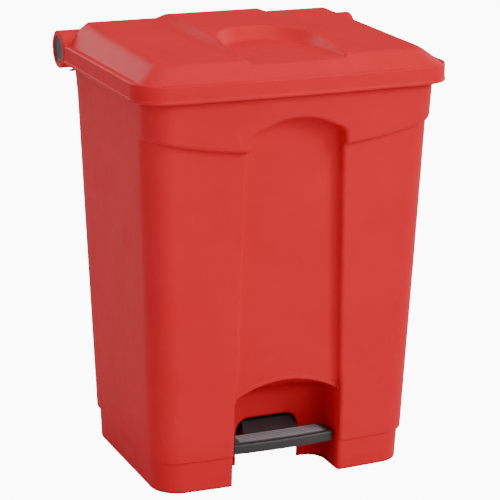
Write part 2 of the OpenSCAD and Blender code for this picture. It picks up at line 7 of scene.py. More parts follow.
import bpy
import numpy as np
from mathutils import Matrix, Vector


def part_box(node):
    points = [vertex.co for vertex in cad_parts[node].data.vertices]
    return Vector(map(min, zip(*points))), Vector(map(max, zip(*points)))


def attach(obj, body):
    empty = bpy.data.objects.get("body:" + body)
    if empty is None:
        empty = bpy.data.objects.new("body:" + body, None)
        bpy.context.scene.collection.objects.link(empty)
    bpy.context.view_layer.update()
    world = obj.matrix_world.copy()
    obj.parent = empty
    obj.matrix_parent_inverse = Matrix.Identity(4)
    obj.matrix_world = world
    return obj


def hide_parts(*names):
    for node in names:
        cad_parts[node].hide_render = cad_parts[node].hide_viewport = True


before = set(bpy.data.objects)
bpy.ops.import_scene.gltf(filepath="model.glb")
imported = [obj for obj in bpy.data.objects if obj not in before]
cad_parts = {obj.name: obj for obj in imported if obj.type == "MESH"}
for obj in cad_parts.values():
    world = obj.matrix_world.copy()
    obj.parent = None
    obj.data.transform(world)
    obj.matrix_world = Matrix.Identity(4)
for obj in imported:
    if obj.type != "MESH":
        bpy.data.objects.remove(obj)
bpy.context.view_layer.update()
MM = 0.001


def box_mm(node):
    """Lowest and highest corner of a CAD node, in millimetres."""
    low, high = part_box(node)
    return np.array(low) / MM, np.array(high) / MM


# ---- Driving dimensions, in millimetres ----

_, lid_high = box_mm("lid_shell")
rod_low, rod_high = box_mm("hinge_rod")

HINGE_Y, HINGE_Z = (rod_low[1:] + rod_high[1:]) / 2
LID_HALF_W = lid_high[0]
BARREL_R = lid_high[1] - HINGE_Y
BAND_Z = lid_high[2]
RIM_Z = HINGE_Z + 7.1

PLINTH_H = 50.6
SEAM_Z = 615.9
HALF_W = (212.7, 234.7)          # at the plinth's top and at the seam
FRONT = (156.1, 174.3)
REAR = (157.9, 175.6)
CORNER_R = 40.5
BOW = 6.7                        # bulge of the front faces of body and lid
WALL = 3.2
PLINTH_WALL = 7.0
PLINTH_STEP = 3.6
FLOOR_Z = (84.0, 90.0)

COLLAR_PROUD = 11.5
COLLAR_Z = 528.0                 # lowest point of the collar's arched edge
COLLAR_R = 893.0
COLLAR_EDGE_R = 8.0

PANEL_HALF_W = 89.0
PANEL_TAPER = 0.0225
PANEL_TOP_Z = 579.5
CROWN_R = 117.0
SHOULDER_R = 18.5
SHOULDER_Z = PANEL_TOP_Z - 34.5
PANEL_Y = -147.8
PANEL_SLOPE = 0.02
PANEL_EDGE_R = 6.0
PANEL_FILLET_R = 8.0

NICHE_HALF_W = 88.5
NICHE_TOP_Z = 162.5
NICHE_ARCH_R = 163.0
NICHE_Y = -79.0
NICHE_CORNER_R = 28.0
NICHE_BACK_Z = 122.0
SLOT_HALF_W = 53.0
SLOT_TOP_Z = 77.0
SLOT_R = 22.0

CHANNEL_HALF_W = 28.0
CHANNEL_Y = 119.0
TROUGH_R = BARREL_R + 2.8

LID_FRONT = 198.3
LID_CORNER_R = 46.7
SKIRT_TOP_Z = SEAM_Z + 28.0
LID_WALL = 3.0
SIDE_RIM_W = 11.0
FRONT_RIM_W = 4.0
FLAT_HALF_W = 205.0
FLAT_FRONT = 168.0
FLAT_CORNER_R = 30.0
FLAT_Z = (668.0, 674.0)          # flat top at its front and rear edges
FLAT_REAR = 172.0
BAND_HALF_W = 79.0
DISH_Z = 662.0
DISH_Y = -87.0                   # where the dish's straight sides meet its round rear
DISH_HALF_W = 80.0
DISH_REAR_D = 105.0
BROW_SHARE = (0.09, 1.6)         # how far in the brow's rounding begins, and how much further at the sides
BARREL_HOLE_R = 21.2
TUBE_X = LID_HALF_W - 74.0
LUG_X = (158.0, 170.0)
LUG_R = 9.0
LUG_NOTCH_X = (LUG_X[0] - 4, LUG_X[1] + 4)
HOOD_ANGLES = (300, 375, 458)    # where hood and notches begin and where the hood meets the lid's top
WEB_X = (186.0, 192.0)
CAM_SEAT_Z = 659.0


# ---- Mesh helpers ----


def turn(start, end, count):
    """Angles from start to end, given in degrees, as radians."""
    return np.radians(np.linspace(start, end, count))


def soft_step(x, low, high):
    """0 below low, 1 above high and a smooth cubic between; high may be below low."""
    t = np.clip((x - low) / (high - low), 0, 1)
    return t * t * (3 - 2 * t)


def soft_max(a, b, width):
    """The larger of a and b, with the crease between them rounded over about width."""
    return 0.5 * (a + b + np.sqrt((a - b) ** 2 + width**2))


def soft_min(a, b, width):
    """The smaller of a and b, with the crease between them rounded over about width."""
    return -soft_max(-a, -b, width)


def xyz(x, y, z):
    """Three arrays of the same or broadcastable shape as one array of points."""
    return np.stack(np.broadcast_arrays(x, y, z), axis=-1).astype(float)


def sheet(points, keep=None):
    """A grid of points as vertices and quads. Rows run right and columns up, seen from outside."""
    rows, columns = points.shape[:2]
    index = np.arange(rows * columns).reshape(rows, columns)
    quads = np.stack(
        [index[:-1, :-1], index[:-1, 1:], index[1:, 1:], index[1:, :-1]], axis=-1
    )
    quads = quads.reshape(-1, 4) if keep is None else quads[keep]
    return points.reshape(-1, 3), quads


def flipped(part):
    """The same faces, looking the other way."""
    return part[0], part[1][:, ::-1]


def both_sides(part):
    """A part of the right half, with its mirror image on the left."""
    points, quads = part
    return joined([part, (points * [-1, 1, 1], quads[:, ::-1])])


def joined(parts):
    """Several parts as one list of vertices and one of quads."""
    starts = np.cumsum([0] + [len(points) for points, _ in parts[:-1]])
    points = np.concatenate([points for points, _ in parts])
    quads = np.concatenate([quads + start for (_, quads), start in zip(parts, starts)])
    return points, quads


def slab(top, bottom):
    """A closed solid between two grids of the same shape, rows along X and columns along Y, with walls
    round the rim."""
    rim = [(slice(None), 0), (slice(None), -1), (0, slice(None)), (-1, slice(None))]
    walls = [sheet(np.stack([bottom[edge], top[edge]])) for edge in rim]
    walls = [walls[0], flipped(walls[1]), flipped(walls[2]), walls[3]]
    return joined([flipped(sheet(top)), sheet(bottom)] + walls)


def revolved(x, radius, count=72):
    """A profile of distances along X and radii, turned about the hinge axis, the solid on its right."""
    angle = turn(0, 360, count + 1)[:, None]
    return sheet(xyz(x, HINGE_Y + radius * np.cos(angle), HINGE_Z + radius * np.sin(angle)))


def in_scene(name, data):
    """A new object that shows a mesh, a lamp or a camera."""
    made = bpy.data.objects.new(name, data)
    bpy.context.scene.collection.objects.link(made)
    return made


def make_piece(name, part, material, body, nodes=(), sharp=38.0, wall=None):
    """Welds a part's coinciding points, drops the faces that collapse, and makes a smooth mesh object."""
    points, quads = part
    keys = np.round(points / 0.01).astype(np.int64)
    _, first, inverse = np.unique(keys, axis=0, return_index=True, return_inverse=True)
    quads = inverse.reshape(-1)[quads]
    corner = quads != np.roll(quads, -1, axis=1)
    whole = corner.sum(axis=1) >= 3
    loops = quads[whole][corner[whole]]
    counts = corner[whole].sum(axis=1)
    mesh = bpy.data.meshes.new(name)
    mesh.vertices.add(len(first))
    mesh.vertices.foreach_set("co", (points[first] * MM).astype(np.float32).ravel())
    mesh.loops.add(len(loops))
    mesh.loops.foreach_set("vertex_index", loops.astype(np.int32))
    mesh.polygons.add(len(counts))
    mesh.polygons.foreach_set("loop_start", (np.cumsum(counts) - counts).astype(np.int32))
    mesh.update(calc_edges=True)
    mesh.validate()
    mesh.polygons.foreach_set("use_smooth", np.ones(len(mesh.polygons), bool))
    mesh.set_sharp_from_angle(angle=np.radians(sharp))
    mesh.materials.append(material)
    piece = in_scene(name, mesh)
    if wall:
        solid = piece.modifiers.new("wall", "SOLIDIFY")
        solid.thickness = wall * MM
        solid.offset = -1
        solid.use_quality_normals = True
    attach(piece, body)
    if nodes:
        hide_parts(*nodes)
    return piece


# ---- Body ----


def at_height(pair, z):
    """Straight interpolation between the plinth's top and the seam, and beyond."""
    return pair[0] + (pair[1] - pair[0]) * (z - PLINTH_H) / (SEAM_Z - PLINTH_H)


def step_profile(out, r_in, r_out, count=5):
    """A ledge in section: a hollow quarter round, a flat and a quarter round. Returns rise and reach."""
    t = turn(0, 90, count)
    rise = np.concatenate([r_in * (np.sin(t) - 1), r_out * (1 - np.cos(t))])
    reach = np.concatenate([r_in * (1 - np.cos(t)), out - r_out + r_out * np.sin(t)])
    return rise, reach


def collar_edge(x):
    """Height of the collar's lower edge: a circle's arc, lowest in the middle."""
    return COLLAR_Z + COLLAR_R - np.sqrt(COLLAR_R**2 - x**2)


def panel_half(z):
    return PANEL_HALF_W - PANEL_TAPER * z


def panel_face(z):
    return PANEL_Y - PANEL_SLOPE * z


def opening_half(z):
    """Half width of the front's opening: the niche's below its arch, the panel's above it."""
    return panel_half(z) + (NICHE_HALF_W - panel_half(z)) * soft_step(z, NICHE_TOP_Z + 8, NICHE_TOP_Z - 30)


def arch(x):
    """Height of the niche's arch on the panel's face."""
    return NICHE_TOP_Z - NICHE_ARCH_R + np.sqrt(NICHE_ARCH_R**2 - np.minimum(x, NICHE_HALF_W) ** 2)


def bent(a, b, c, t):
    """A quadratic curve from a to c that leans on b."""
    return (1 - t) ** 2 * a + 2 * t * (1 - t) * b + t**2 * c


def roof(x, t):
    """The niche's roof from its back wall, t = 0, to the panel's face, t = 1, with rounded bends. Returns
    y and z."""
    low_y, low_z = NICHE_Y, NICHE_BACK_Z
    high_z = arch(x)
    high_y = panel_face(high_z)

    def on_slope(f):
        return low_y + (high_y - low_y) * f, low_z + (high_z - low_z) * f

    foot, head = on_slope(0.16), on_slope(0.91)
    t0, t1 = np.clip(t / 0.25, 0, 1), np.clip((t - 0.75) / 0.25, 0, 1)
    middle = np.clip((t - 0.25) / 0.5, 0, 1)
    y = np.where(
        t < 0.25,
        bent(low_y, low_y, foot[0], t0),
        np.where(t > 0.75, bent(head[0], high_y, panel_face(high_z + 4), t1),
                 foot[0] + (head[0] - foot[0]) * middle),
    )
    z = np.where(
        t < 0.25,
        bent(low_z - 10, low_z, foot[1], t0),
        np.where(t > 0.75, bent(head[1], high_z, high_z + 4, t1),
                 foot[1] + (head[1] - foot[1]) * middle),
    )
    return y, z


def body_rows():
    """What one row round the body needs to know, from the floor up to where the fan at the panel's crown
    begins: height at the panel's edge, plinth inset, collar reach, and place on the niche's roof."""
    plinth_rise, plinth_reach = step_profile(PLINTH_STEP, 0.8, 1.4)
    edge_z = collar_edge(panel_half(COLLAR_Z))
    collar_rise, collar_reach = step_profile(COLLAR_PROUD, 1.5, COLLAR_EDGE_R, 9)
    stretches = [
        (np.linspace(0, PLINTH_H - 1.6, 12), PLINTH_STEP, 0, 0),
        (PLINTH_H + plinth_rise, PLINTH_STEP - plinth_reach, 0, 0),
        (np.linspace(PLINTH_H + 3.4, FLOOR_Z[0], 10), 0, 0, 0),
        (np.linspace(FLOOR_Z[0] + 3, NICHE_BACK_Z - 12, 8), 0, 0, 0),
        (None, 0, 0, np.linspace(0, 1, 22)),
        (np.linspace(NICHE_TOP_Z - 18, edge_z - 5, 46), 0, 0, 1),
        (edge_z + collar_rise, 0, collar_reach, 1),
    ]
    rows = []
    for z, inset, proud, place in stretches:
        if z is None:
            z = roof(NICHE_HALF_W, place)[1]
        rows.append(np.stack(np.broadcast_arrays(z, inset, proud, place), axis=-1))
    return np.concatenate(rows).T


def crown_path(count_low, count_high):
    """The panel's edge above the collar's step, by even steps along it: a short upright, the round shoulder
    and the crown's wide arc, softened where they meet. Returns x, z and the outward normal."""
    shoulder_x = panel_half(SHOULDER_Z) - SHOULDER_R
    start_z = collar_edge(panel_half(COLLAR_Z)) + COLLAR_EDGE_R
    a = turn(0, 68, 40)
    crown = np.linspace(57, 0, 60)
    up_z = np.linspace(start_z, SHOULDER_Z, 12)[:-1]
    x = np.concatenate([panel_half(up_z), shoulder_x + SHOULDER_R * np.cos(a), crown])
    z = np.concatenate([
        up_z, SHOULDER_Z + SHOULDER_R * np.sin(a),
        PANEL_TOP_Z - CROWN_R + np.sqrt(CROWN_R**2 - crown**2),
    ])
    length = np.concatenate([[0], np.cumsum(np.hypot(np.diff(x), np.diff(z)))])
    fine = np.linspace(0, length[-1], 400)
    x, z = np.interp(fine, length, x), np.interp(fine, length, z)
    window = np.hanning(47)
    window /= window.sum()
    pad = len(window) // 2
    x_ends = np.concatenate([2 * x[0] - x[pad:0:-1], x, -x[-2:-pad - 2:-1]])
    z_ends = np.concatenate([2 * z[0] - z[pad:0:-1], z, z[-2:-pad - 2:-1]])
    x, z = np.convolve(x_ends, window, "valid"), np.convolve(z_ends, window, "valid")
    middle = np.searchsorted(-np.arctan2(np.gradient(z), -np.gradient(x)), -np.radians(50))
    place = np.concatenate([
        np.linspace(0, middle, count_low + 1)[1:], np.linspace(middle, 399, count_high + 1)[1:],
    ])
    along = np.arange(400)
    dx, dz = np.gradient(x), np.gradient(z)
    size = np.hypot(dx, dz)
    return [np.interp(place, along, v) for v in (x, z, dz / size, -dx / size)]


def front_face(x, z, inset, proud):
    """Distance of the body's front from the middle plane, with its bow."""
    half = at_height(HALF_W, z) - inset
    return -(at_height(FRONT, z) - inset + proud + BOW * (1 - (x / half) ** 2))


FAN_SIDE, FAN_TOP = 18, 46


def front_sheet():
    """The right half of the front. Rows follow the opening's edge from the floor over the crown to the
    middle plane. Along a row: the outer face, a quarter round, the wall of the recess, a hollow quarter
    round, and the panel's face or the niche's back wall to the middle plane."""
    z, inset, proud, place = body_rows()
    edge = opening_half(z)
    fan_x, fan_z, fan_nx, fan_nz = crown_path(FAN_SIDE, FAN_TOP)
    fan = np.ones(FAN_SIDE + FAN_TOP)
    edge_x = np.concatenate([edge, fan_x])[:, None]
    edge_z = np.concatenate([z, fan_z])[:, None]
    nx = np.concatenate([np.ones_like(z), fan_nx])[:, None]
    nz = np.concatenate([np.zeros_like(z), fan_nz])[:, None]
    inset = np.concatenate([inset, 0 * fan])[:, None]
    proud = np.concatenate([proud, COLLAR_PROUD * fan])[:, None]
    place = np.concatenate([place, fan])[:, None]

    follow = soft_step(z, 330, COLLAR_Z - 5)
    side_z = z
    for _ in range(5):
        corner_x = at_height(HALF_W, side_z) - inset[: len(z), 0] - CORNER_R
        side_z = z + (collar_edge(corner_x) - collar_edge(edge)) * follow
    rise = np.linspace(side_z[-1], RIM_Z, FAN_SIDE + 1)[1:]
    top_x = at_height(HALF_W, RIM_Z) - CORNER_R
    outer_x = np.concatenate([
        corner_x, at_height(HALF_W, rise) - CORNER_R, np.linspace(top_x, 0, FAN_TOP + 1)[1:],
    ])[:, None]
    outer_z = np.concatenate([side_z, rise, RIM_Z * np.ones(FAN_TOP)])[:, None]

    # Outer face, from the corner to the start of the quarter round.
    t = np.linspace(0, 1, 22)[:-1][None, :] ** 0.85
    start_x, start_z = edge_x + PANEL_EDGE_R * nx, edge_z + PANEL_EDGE_R * nz
    x_out = outer_x + (start_x - outer_x) * t
    z_lerp = outer_z + (start_z - outer_z) * t
    straight = (np.arange(len(edge_x)) < len(z))[:, None]
    all_follow = np.concatenate([follow, 0 * fan])[:, None]
    z_arc = edge_z + (collar_edge(x_out) - collar_edge(edge_x)) * all_follow
    z_out = np.where(straight, z_arc, z_lerp)
    y_out = front_face(x_out, z_out, inset, proud)

    # Quarter round, wall and hollow quarter round.
    is_niche = 1 - place
    fillet = PANEL_FILLET_R + (NICHE_CORNER_R - PANEL_FILLET_R) * is_niche
    foot_x, foot_z = edge_x - fillet * nx, edge_z - fillet * nz
    roof_y, roof_z = roof(foot_x, place)
    on_roof = (place > 0) & (place < 1)
    foot_z = np.where(on_roof, roof_z, foot_z)
    foot_y = np.where(place == 0, NICHE_Y, np.where(on_roof, roof_y, panel_face(foot_z)))
    face_y = front_face(start_x, start_z, inset, proud)
    a = turn(0, 90, 8)[None, :]
    round_off = PANEL_EDGE_R * (1 - np.sin(a))
    x_round, z_round = edge_x + round_off * nx, edge_z + round_off * nz
    y_round = face_y + PANEL_EDGE_R * (1 - np.cos(a))
    t = np.linspace(0, 1, 5)[None, 1:-1]
    wall_top, wall_foot = face_y + PANEL_EDGE_R, foot_y - fillet
    x_wall, z_wall = edge_x + 0 * t, edge_z + 0 * t
    y_wall = wall_top + (wall_foot - wall_top) * t
    hollow = 1 - np.cos(a)
    x_hollow = edge_x + (foot_x - edge_x) * hollow
    z_hollow = edge_z + (foot_z - edge_z) * hollow
    y_hollow = wall_foot + (foot_y - wall_foot) * np.sin(a)

    # The panel's face or the niche's roof and back wall, to the middle plane.
    t = np.linspace(0, 1, 23)[None, 1:]
    x_in = foot_x * (1 - t)
    bump = arch(x_in) - arch(foot_x)
    fade = np.where(place == 1, soft_step(edge_z, 290, NICHE_TOP_Z - 18), 0)
    middle_z = np.concatenate([z, z[-1] + (PANEL_TOP_Z - 9 - z[-1]) * np.linspace(0, 1, len(fan) + 1)[1:]])
    z_in = np.where(straight, foot_z + bump * fade, foot_z + (middle_z[:, None] - foot_z) * t)
    roof_y, roof_z = roof(x_in, place)
    z_in = np.where(on_roof, roof_z, z_in)
    y_in = np.where(place == 0, NICHE_Y, np.where(on_roof, roof_y, panel_face(z_in)))

    x = np.concatenate([x_out, x_round, x_wall, x_hollow, x_in], axis=1)
    y = np.concatenate([y_out, y_round, y_wall, y_hollow, y_in], axis=1)
    z_all = np.concatenate([z_out, z_round, z_wall, z_hollow, z_in], axis=1)

    # The lever's slot through the niche's back wall: points near its outline move onto it.
    shoulder = SLOT_HALF_W - SLOT_R
    back = y > NICHE_Y - 1
    off_x = np.maximum(x - shoulder, 0)
    off_z = np.maximum(z_all - (SLOT_TOP_Z - SLOT_R), 0)
    far = np.hypot(off_x, off_z)
    near = back & (np.abs(far - SLOT_R) < 2.4) & (z_all < SLOT_TOP_Z + 3)
    scale = np.where(near, SLOT_R / np.maximum(far, 1), 1)
    x = np.where(near, np.minimum(x, shoulder) + off_x * scale, x)
    z_all = np.where(near, np.minimum(z_all, SLOT_TOP_Z - SLOT_R) + off_z * scale, z_all)
    off_x = np.maximum(x - shoulder, 0)
    off_z = np.maximum(z_all - (SLOT_TOP_Z - SLOT_R), 0)
    inside = back & (np.hypot(off_x, off_z) < SLOT_R + 0.2)
    cut = inside[:-1, :-1] & inside[1:, :-1] & inside[:-1, 1:] & inside[1:, 1:]
    x[-1] = 0
    points = xyz(x, y, z_all)
    side = points[: len(z) + FAN_SIDE, 0]
    return flipped(sheet(points, ~cut)), side, follow


def wrap_sheet(side, follow):
    """The right half from the front corner round the side and the rear corner to the rear channel's middle.
    Rows start on the front sheet's edge. The top is cut down to the barrel's round trough."""
    _, inset, proud, _ = body_rows()
    fan = np.linspace(1, 0, FAN_SIDE + 1)[1:]
    inset = np.concatenate([inset, 0 * fan])[:, None]
    proud = np.concatenate([proud, COLLAR_PROUD + 0 * fan])[:, None]
    follow = np.concatenate([follow, fan])[:, None]
    start_z = side[:, 2][:, None]

    half = at_height(HALF_W, start_z) - inset
    front, rear = at_height(FRONT, start_z) - inset, at_height(REAR, start_z) - inset
    core = half - CORNER_R
    a = turn(0, 90, 15)[None, :]
    x_corner = core + CORNER_R * np.sin(a)
    z_corner = start_z + (collar_edge(x_corner) - collar_edge(core)) * follow
    y_corner = -(front - CORNER_R) - CORNER_R * np.cos(a) - proud
    y_corner = y_corner - BOW * (1 - (x_corner / half) ** 2)
    z_side = z_corner[:, -1:]
    t = np.linspace(0, 1, 14)[None, 1:-1]
    y_side = y_corner[:, -1:] + (rear - CORNER_R - y_corner[:, -1:]) * t
    a = turn(0, 90, 22)[None, :]
    x_rear, y_rear = core + CORNER_R * np.cos(a), rear - CORNER_R + CORNER_R * np.sin(a)
    lip = 2.0
    t = np.linspace(0, 1, 12)[None, 1:]
    x_back = core + (CHANNEL_HALF_W + lip - core) * t
    a = turn(0, 90, 5)[None, 1:]
    x_lip, y_lip = CHANNEL_HALF_W + lip - lip * np.sin(a), rear - lip + lip * np.cos(a)
    t = np.linspace(0, 1, 16)[None, 1:]
    y_wall = rear - lip + (CHANNEL_Y + 3 - rear + lip) * t
    x_in = CHANNEL_HALF_W - 3 + 3 * np.cos(a)
    y_in = CHANNEL_Y + 3 - 3 * np.sin(a)
    x_mid = (CHANNEL_HALF_W - 3) * (1 - np.linspace(0, 1, 7)[None, 1:])

    columns = [
        (x_corner, y_corner, z_corner), (half + 0 * y_side, y_side, z_side), (x_rear, y_rear, z_side),
        (x_back, rear, z_side), (x_lip, y_lip, z_side), (CHANNEL_HALF_W, y_wall, z_side),
        (x_in, y_in, z_side), (x_mid, CHANNEL_Y, z_side),
    ]
    points = np.concatenate([xyz(*column) for column in columns], axis=1)
    reach = np.maximum(TROUGH_R**2 - (HINGE_Y - points[..., 1]) ** 2, 0)
    top = np.where(reach > 0, np.minimum(HINGE_Z - np.sqrt(reach), RIM_Z), RIM_Z)
    low = 560.0
    lowered = low + (points[..., 2] - low) * (top - low) / (RIM_Z - low)
    points[..., 2] = np.where(points[..., 2] > low, lowered, points[..., 2])
    points[:, 0] = side
    in_channel = points[..., 0] < CHANNEL_HALF_W + 0.5
    below = points[..., 2] < FLOOR_Z[0] - 1
    return sheet(points, ~(in_channel[:-1, 1:] & below[:-1, 1:]))


def trough_sheet():
    """The trough behind the rim: part of a tube round the hinge axis, between channel and side wall."""
    x = np.linspace(CHANNEL_HALF_W + 1, at_height(HALF_W, HINGE_Z) - WALL / 2, 60)[:, None]
    lip_angle = 180 - np.degrees(np.arcsin((RIM_Z - HINGE_Z) / TROUGH_R))
    a = turn(lip_angle, 270, 26)[None, :]
    return flipped(sheet(xyz(x, HINGE_Y + TROUGH_R * np.cos(a), HINGE_Z + TROUGH_R * np.sin(a))))


def floor_slabs():
    """The bin's floor as closed slabs from the front wall, or the niche's back wall, to the rear wall."""
    middle = WALL / 2
    half = at_height(HALF_W, FLOOR_Z[1]) - middle
    front, rear = at_height(FRONT, FLOOR_Z[1]) - middle, at_height(REAR, FLOOR_Z[1]) - middle
    core, r = half - CORNER_R, CORNER_R - middle
    parts = []
    niche = NICHE_HALF_W + middle
    channel = CHANNEL_HALF_W + middle
    for x0, x1, at_front, at_rear in (
        (-0.05, channel, NICHE_Y + middle, CHANNEL_Y - middle),
        (channel - 0.05, niche, NICHE_Y + middle, None), (niche - 0.05, half, None, None),
    ):
        x = x0 + (x1 - x0) * np.sin(turn(0, 90, 24))[:, None]
        corner = r - np.sqrt(np.maximum(r**2 - np.maximum(x - core, 0) ** 2, 0))
        y0 = -(front - corner + BOW * (1 - (x / half) ** 2)) if at_front is None else at_front
        y1 = rear - corner if at_rear is None else at_rear
        y = y0 + (y1 - y0) * np.linspace(0, 1, 12)[None, :]
        top = xyz(x, y, FLOOR_Z[1])
        parts.append(slab(top, xyz(x, y, FLOOR_Z[0])))
    return joined(parts)


def plate(outline, x0, x1, r, hole):
    """A flat plate across X round a bearing hole: its YZ outline carried along X, with rounded edges."""
    centre = np.array([HINGE_Y, HINGE_Z])
    a = turn(0, 90, 4)
    inset = np.concatenate([r * (1 - np.sin(a)), r * (1 - np.cos(a))])
    x = np.concatenate([x0 + r * (1 - np.cos(a)), x1 - r * (1 - np.sin(a))])
    away = outline - centre
    size = np.linalg.norm(away, axis=1, keepdims=True)
    rings = [centre + away * (1 - inset_at / size) for inset_at in inset]
    bore = centre + away / size * hole
    rings = [bore] + rings + [bore, bore]
    x = np.concatenate([[x0], x, [x1, x0]])
    points = np.stack([np.column_stack([np.full(len(ring), at), ring]) for at, ring in zip(x, rings)])
    return flipped(sheet(points))


def hinge_lug():
    """A hinge lug: a post that rises from the trough and ends round, about the rod."""
    a = turn(-10, 190, 30)
    top = np.column_stack([HINGE_Y + LUG_R * np.cos(a), HINGE_Z + LUG_R * np.sin(a)])
    foot = np.array([[HINGE_Y - 17, HINGE_Z - 36], [HINGE_Y, HINGE_Z - 36]])
    corners = np.concatenate([top, foot, top[:1]])
    length = np.concatenate([[0], np.cumsum(np.linalg.norm(np.diff(corners, axis=0), axis=1))])
    even = np.linspace(0, length[-1], 90)
    outline = np.column_stack([np.interp(even, length, corners[:, i]) for i in (0, 1)])
    return plate(outline, *LUG_X, 0.8, 4.05)


def body_pieces(red):
    """The shell as one sheet with its wall's thickness, and the solid floor and lugs inside it."""
    front, side, follow = front_sheet()
    shell = joined([front, wrap_sheet(side, follow), trough_sheet()])
    piece = make_piece("body_shell_wall", both_sides(shell), red, "body",
                       ["body_shell"], wall=PLINTH_WALL)
    points = np.zeros(len(piece.data.vertices) * 3, np.float32)
    piece.data.vertices.foreach_get("co", points)
    points = points.reshape(-1, 3) / MM
    thick = (points[:, 2] < PLINTH_H - 1) & (np.abs(points[:, 0]) > NICHE_HALF_W + 8)
    group = piece.vertex_groups.new(name="wall")
    group.add([int(i) for i in np.flatnonzero(~thick)], WALL / PLINTH_WALL, "REPLACE")
    group.add([int(i) for i in np.flatnonzero(thick)], 1.0, "REPLACE")
    piece.modifiers["wall"].vertex_group = "wall"
    inside = joined([both_sides(floor_slabs()), both_sides(hinge_lug())])
    make_piece("body_shell_floor_and_lugs", inside, red, "body", ["body_shell"])


# ---- Lid ----


def flat_top(y):
    """Height of the lid's gently tilted flat top."""
    return FLAT_Z[0] + (y + FLAT_FRONT) * (FLAT_Z[1] - FLAT_Z[0]) / (FLAT_REAR + FLAT_FRONT)


def lid_bow(x):
    return BOW * (1 - (x / LID_HALF_W) ** 2)


def features(x, y, base):
    """Height of the lid's top with its band and dish. The band is a ridge line that falls to the front,
    with sloping sides. The dish has a flat floor that ends in a scooped front, straight sides and a
    half-oval rear; its wall rises from the floor to the oval's line."""
    x = np.abs(x)
    ridge = BAND_Z - 13.5 * np.maximum(-y / 155, 0) ** 1.8
    slope = 0.66 - 0.3 * soft_step(y, 0, 150)
    band = ridge - slope * np.maximum(x - BAND_HALF_W, 0) - 0.57 * np.maximum(y - (FLAT_REAR - 14), 0)
    in_front = soft_step(y + lid_bow(x), -FLAT_FRONT - 2, -FLAT_FRONT + 16)
    band = np.where(in_front > 0, band, base - 5)
    raised = np.where(band > base - 4, soft_max(base, band, 1.6), base)
    raised = base + (raised - base) * in_front
    oval = np.hypot(x / DISH_HALF_W, np.maximum(y - DISH_Y, 0) / DISH_REAR_D)
    scoop = DISH_Z + 0.96 * (y + lid_bow(x) + FLAT_FRONT + 5.5)
    bottom = soft_min(DISH_Z, scoop, 2.5)
    depth = soft_min(raised - bottom, 105 * (1 - oval), 3.0)
    return raised - soft_max(depth, 0, 1.2) * (depth > -4)


def lid_top_grid():
    """The right half of the flat top: rows from rear to front, columns from the middle outwards.
    The outermost column bends in round the front corner."""
    inside = 3.0
    half, front, r = FLAT_HALF_W - inside, FLAT_FRONT - inside, FLAT_CORNER_R
    corner = turn(0, 90, 15)
    y = np.concatenate([
        np.linspace(FLAT_REAR + 6, FLAT_REAR, 5)[:-1], np.linspace(FLAT_REAR, 150, 14)[:-1],
        np.linspace(150, 24, 30)[:-1], np.linspace(24, -60, 50)[:-1],
        np.linspace(-60, r - front, 32)[:-1], r - front - r * np.sin(corner),
    ])
    edge = np.full(len(y), half)
    edge[-len(corner):] = half - r + r * np.cos(corner)
    x = np.concatenate([
        np.linspace(0, 58, 26)[:-1], np.linspace(58, 84, 22)[:-1], np.linspace(84, 112, 14)[:-1],
        np.linspace(112, half, 26),
    ])
    beyond = np.clip((x - 112) / (half - 112), 0, 1)[None, :]
    x = x[None, :] - beyond * (half - edge[:, None])
    y = y[:, None] - lid_bow(x) * soft_step(y[:, None], 60, -front)
    drop = (2.33 + (FLAT_Z[1] - FLAT_Z[0]) / (FLAT_REAR + FLAT_FRONT)) * np.maximum(y - FLAT_REAR, 0)
    z = features(x, np.minimum(y, FLAT_REAR), flat_top(y))
    return xyz(x, y, np.minimum(z, BAND_Z) - drop), len(corner)


def barrel_front(z):
    """Where a skin at height z runs into the barrel's wall, as a distance behind the middle plane."""
    return HINGE_Y - np.sqrt(np.maximum((BARREL_R - 1.5) ** 2 - (z - HINGE_Z) ** 2, 0))


def lid_ring(half, front, r, rear, counts):
    """The right half of a lid outline, from its rear end along the side, round the corner to the middle."""
    side, corner, across = counts
    side_t = np.linspace(0, 1, side + 1)[:-1]
    across_t = np.linspace(1, 0, across + 1)[1:]
    a = turn(0, 90, corner)
    x = np.concatenate([half + 0 * side_t, half - r + r * np.cos(a), (half - r) * across_t])
    y = np.concatenate([
        rear + (r - front - rear) * side_t, r - front - r * np.sin(a), -front + 0 * across_t,
    ])
    return np.column_stack([x, y - lid_bow(x) * soft_step(y, 60, r - front)])


def skirt_section():
    """The skirt from the rim down, in section: rounded top edge, wall, and the bead at its foot.
    Returns how far each row is set in, and its height."""
    edge_r, bead = 3.6, 1.0
    a = turn(15, 90, 6)
    down = np.linspace(0, 1, 5)
    inset = np.concatenate([
        [edge_r + bead], bead + edge_r * (1 - np.sin(a)), np.full(9, bead),
        bead * (1 - soft_step(down[1:], 0, 1)), [0.0, 0.5, 1.2],
    ])
    z = np.concatenate([
        [SKIRT_TOP_Z], SKIRT_TOP_Z - edge_r * (1 - np.cos(a)),
        np.linspace(SKIRT_TOP_Z - edge_r - 2, SEAM_Z + 5.5, 9), SEAM_Z + 5.5 - 2.2 * down[1:],
        SEAM_Z + np.array([1.4, 0.4, 0.0]),
    ])
    return inset, z


